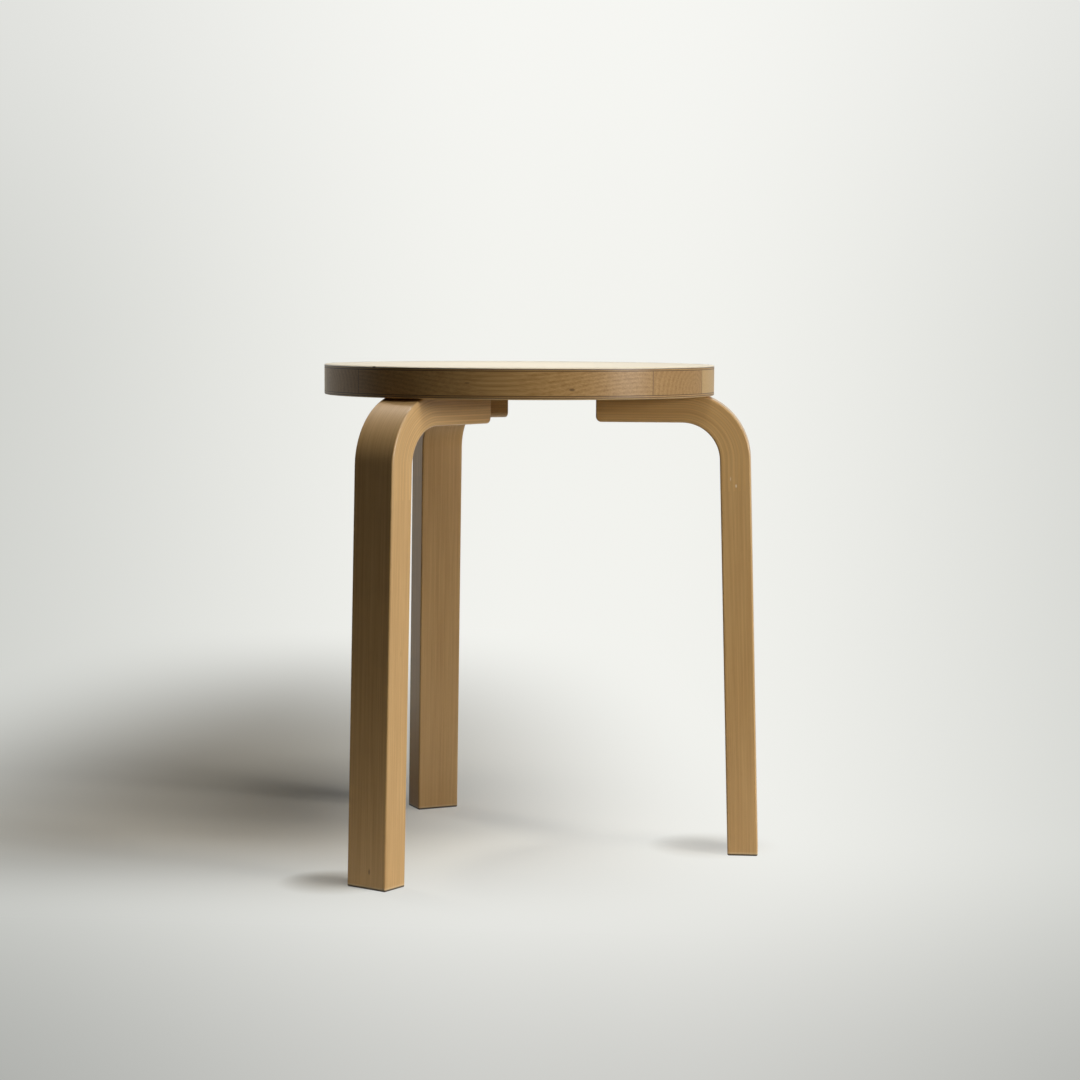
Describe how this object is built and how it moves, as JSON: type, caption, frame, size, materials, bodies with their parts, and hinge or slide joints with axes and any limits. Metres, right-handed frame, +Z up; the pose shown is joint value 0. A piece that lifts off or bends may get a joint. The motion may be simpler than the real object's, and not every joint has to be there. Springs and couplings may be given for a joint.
{
  "type": "stacking stool",
  "caption": "Low backless stool with a round laminated wooden top on bent wooden legs that are kerfed and glued at the knee; stacks in a spiral.",
  "frame": {"origin": "on the floor, at the middle of the footprint's box; the round top's axis is at x = -0.022", "axes": "+Z up, +X along the arm of the right leg; the back and front legs stand at 120 and 240 degrees from it about the top's axis"},
  "size_m": [0.394, 0.3988, 0.44],
  "materials": {
    "face_veneer": "clear satin lacquer over pale birch face veneer",
    "crossband": "clear satin lacquer over the edge of a cross-laid birch veneer",
    "seat_core": "clear satin lacquer over solid birch, end grain and long grain",
    "leg_birch": "clear satin lacquer over solid birch with fine straight grain",
    "slip_veneer": "clear satin lacquer over the edges of glued birch slips",
    "screw_steel": "zinc-plated steel"
  },
  "bodies": {
    "root": {"seat_top_veneer": "face_veneer", "seat_bottom_veneer": "face_veneer", "seat_top_crossband": "crossband", "seat_bottom_crossband": "crossband", "seat_stave_1": "seat_core", "seat_stave_2": "seat_core", "seat_stave_3": "seat_core", "seat_stave_4": "seat_core", "seat_stave_5": "seat_core", "seat_stave_6": "seat_core", "leg_right": "leg_birch", "leg_right_slip_1": "slip_veneer", "leg_right_slip_2": "slip_veneer", "leg_right_slip_3": "slip_veneer", "leg_right_slip_4": "slip_veneer", "leg_right_slip_5": "slip_veneer", "leg_back": "leg_birch", "leg_back_slip_1": "slip_veneer", "leg_back_slip_2": "slip_veneer", "leg_back_slip_3": "slip_veneer", "leg_back_slip_4": "slip_veneer", "leg_back_slip_5": "slip_veneer", "leg_front": "leg_birch", "leg_front_slip_1": "slip_veneer", "leg_front_slip_2": "slip_veneer", "leg_front_slip_3": "slip_veneer", "leg_front_slip_4": "slip_veneer", "leg_front_slip_5": "slip_veneer", "arm_screws": "screw_steel"}
  },
  "joints": []
}
